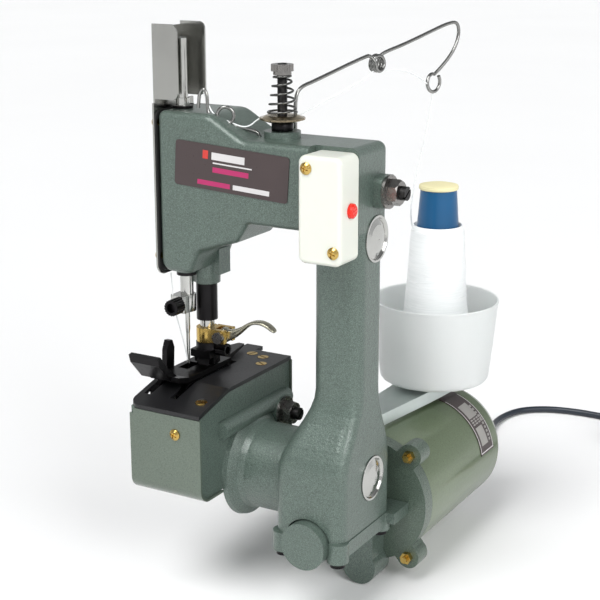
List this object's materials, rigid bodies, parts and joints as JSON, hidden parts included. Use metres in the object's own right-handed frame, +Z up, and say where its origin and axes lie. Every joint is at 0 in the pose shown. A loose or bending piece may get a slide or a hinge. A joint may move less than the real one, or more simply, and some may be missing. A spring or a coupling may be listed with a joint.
{
  "type": "bag closer sewing machine",
  "caption": "Handheld sewing machine that closes filled bags: C-shaped casting with grip column, needle head, looper case, motor, thread cone in a bowl and mains lead.",
  "frame": {"origin": "middle of the column's hand grip", "axes": "+Z up along the grip, +X from the sewing head towards the column, +Y from the operator's front to the motor behind"},
  "size_m": [0.253, 0.4463, 0.343],
  "materials": {
    "hammertone": "hammertone enamel on castings",
    "cover_paint": "satin enamel on sheet and motor",
    "stainless": "brushed",
    "steel": "machined",
    "bright_steel": "polished and plated",
    "galvanised": "plain sheet",
    "brass": "gilt passivated",
    "black_steel": "black oxide",
    "black_plate": "black satin",
    "black_plastic": "matt",
    "white_plastic": "satin moulding",
    "milky_plastic": "translucent",
    "red_plastic": "gloss",
    "label": "satin label",
    "blue_card": "varnished card",
    "cream_card": "card",
    "thread": "wound thread",
    "nylon": "nylon",
    "cord_rubber": "satin",
    "gasket": "matt",
    "cream_steel": "plated"
  },
  "bodies": {
    "frame": {"base_casting": "hammertone", "column_arm_casting": "hammertone", "base_bolts": "black_steel", "column_plugs": "bright_steel", "pivot_studs": "black_steel", "stud_lock_nuts": "steel", "switch_box": "white_plastic", "switch_unit": "black_plastic", "name_plates": "label", "face_plate": "stainless", "face_plate_gasket": "gasket", "bar_bushes": "black_steel", "looper_case": "hammertone", "case_cover": "cover_paint", "pan_head_screws": "brass", "case_side_cover": "stainless", "throat_plate": "black_plate", "throat_plate_screws": "brass", "shaft_bearings": "steel", "motor_endbell": "hammertone", "motor_shell": "cover_paint", "motor_rear_cap": "cover_paint", "motor_bolts": "brass", "cone_bracket": "galvanised", "thread_bowl": "milky_plastic", "cone_spindle": "steel", "thread_cone": "blue_card", "cone_cap": "cream_card", "thread_package": "thread", "tension_post": "steel", "tension_discs": "bright_steel", "tension_spring": "steel", "guide_wires": "bright_steel", "strain_relief": "cord_rubber", "power_cord": "cord_rubber", "cord_coil": "cord_rubber", "power_plug": "cord_rubber", "plug_pins": "brass"},
    "rotor": {"worm_shaft": "steel", "motor_rotor": "steel"},
    "main_shaft_body": {"main_shaft": "steel", "worm_wheel": "nylon"},
    "rod": {"connecting_rod": "steel"},
    "rocker": {"rocker_shaft": "steel"},
    "needle_bar_body": {"needle_bar": "bright_steel", "needle_clamp": "bright_steel", "needle": "bright_steel"},
    "needle_screw": {"needle_thumb_screw": "black_steel"},
    "presser": {"presser_bar": "bright_steel", "presser_collar": "brass", "lifter_pivot_screw": "steel", "foot_holder": "black_steel", "presser_foot": "black_steel"},
    "lifter": {"lifter_lever": "cream_steel"},
    "foot_screw": {"foot_thumb_screw": "black_steel"},
    "feed_lift_body": {"feed_carrier": "steel"},
    "feed_body": {"feed_dog": "black_steel"},
    "looper_body": {"looper": "bright_steel"},
    "button": {"start_button": "red_plastic"},
    "tension_nut_body": {"tension_nut": "steel"}
  },
  "joints": [
    {"name": "motor_spin", "type": "hinge", "parent": "frame", "child": "rotor", "pos_m": [-0.007, 0.095, -0.126], "axis": [0, 1, 0], "continuous": true},
    {"name": "main_shaft_spin", "type": "hinge", "parent": "frame", "child": "main_shaft_body", "pos_m": [-0.007, 0.003, -0.098], "axis": [1, 0, 0], "continuous": true},
    {"name": "needle_bar_slide", "type": "slide", "parent": "frame", "child": "needle_bar_body", "axis": [0, 0, 1], "range_m": [-0.015, 0.011]},
    {"name": "rocker_swing", "type": "hinge", "parent": "frame", "child": "rocker", "pos_m": [-0.0445, 0.0065, 0.077], "axis": [-1, 0, 0], "range_deg": [-47, 35]},
    {"name": "rod_slide", "type": "slide", "parent": "frame", "child": "rod", "axis": [0, 0, 1], "range_m": [-0.0116, 0.0086]},
    {"name": "looper_swing", "type": "hinge", "parent": "frame", "child": "looper_body", "pos_m": [-0.1095, 0, -0.079], "axis": [0, 1, 0], "range_deg": [-19, 14]},
    {"name": "needle_screw_turn", "type": "hinge", "parent": "needle_bar_body", "child": "needle_screw", "pos_m": [-0.1055, -0.02, -0.0005], "axis": [0, 1, 0], "continuous": true},
    {"name": "presser_lift", "type": "slide", "parent": "frame", "child": "presser", "axis": [0, 0, 1], "range_m": [0, 0.0045]},
    {"name": "lifter_swing", "type": "hinge", "parent": "presser", "child": "lifter", "pos_m": [-0.086, 0.002, -0.0214], "axis": [0, -1, 0], "range_deg": [0, 41]},
    {"name": "foot_screw_turn", "type": "hinge", "parent": "presser", "child": "foot_screw", "pos_m": [-0.0905, 0.002, -0.0308], "axis": [1, 0, 0], "continuous": true},
    {"name": "feed_lift", "type": "slide", "parent": "frame", "child": "feed_lift_body", "axis": [0, 0, 1], "range_m": [-0.002, 0]},
    {"name": "feed_advance", "type": "slide", "parent": "feed_lift_body", "child": "feed_body", "axis": [0, 1, 0], "range_m": [-0.003, 0.003]},
    {"name": "button_press", "type": "slide", "parent": "frame", "child": "button", "axis": [-1, 0, 0], "range_m": [0, 0.0018], "stiffness_N_per_m": 600, "springref_m": -0.001},
    {"name": "tension_nut_turn", "type": "hinge", "parent": "frame", "child": "tension_nut_body", "pos_m": [-0.0405, -0.005, 0.143], "axis": [0, 0, 1], "continuous": true}
  ],
  "couplings": [
    {"joint": "main_shaft_spin", "follows": "motor_spin", "ratio": -0.16667},
    {"joint": "rocker_swing", "follows": "needle_bar_slide", "rad_per_m": 52.36},
    {"joint": "rod_slide", "follows": "needle_bar_slide", "ratio": 0.75},
    {"joint": "looper_swing", "follows": "needle_bar_slide", "rad_per_m": 20.944},
    {"joint": "lifter_swing", "follows": "presser_lift", "rad_per_m": 155}
  ]
}
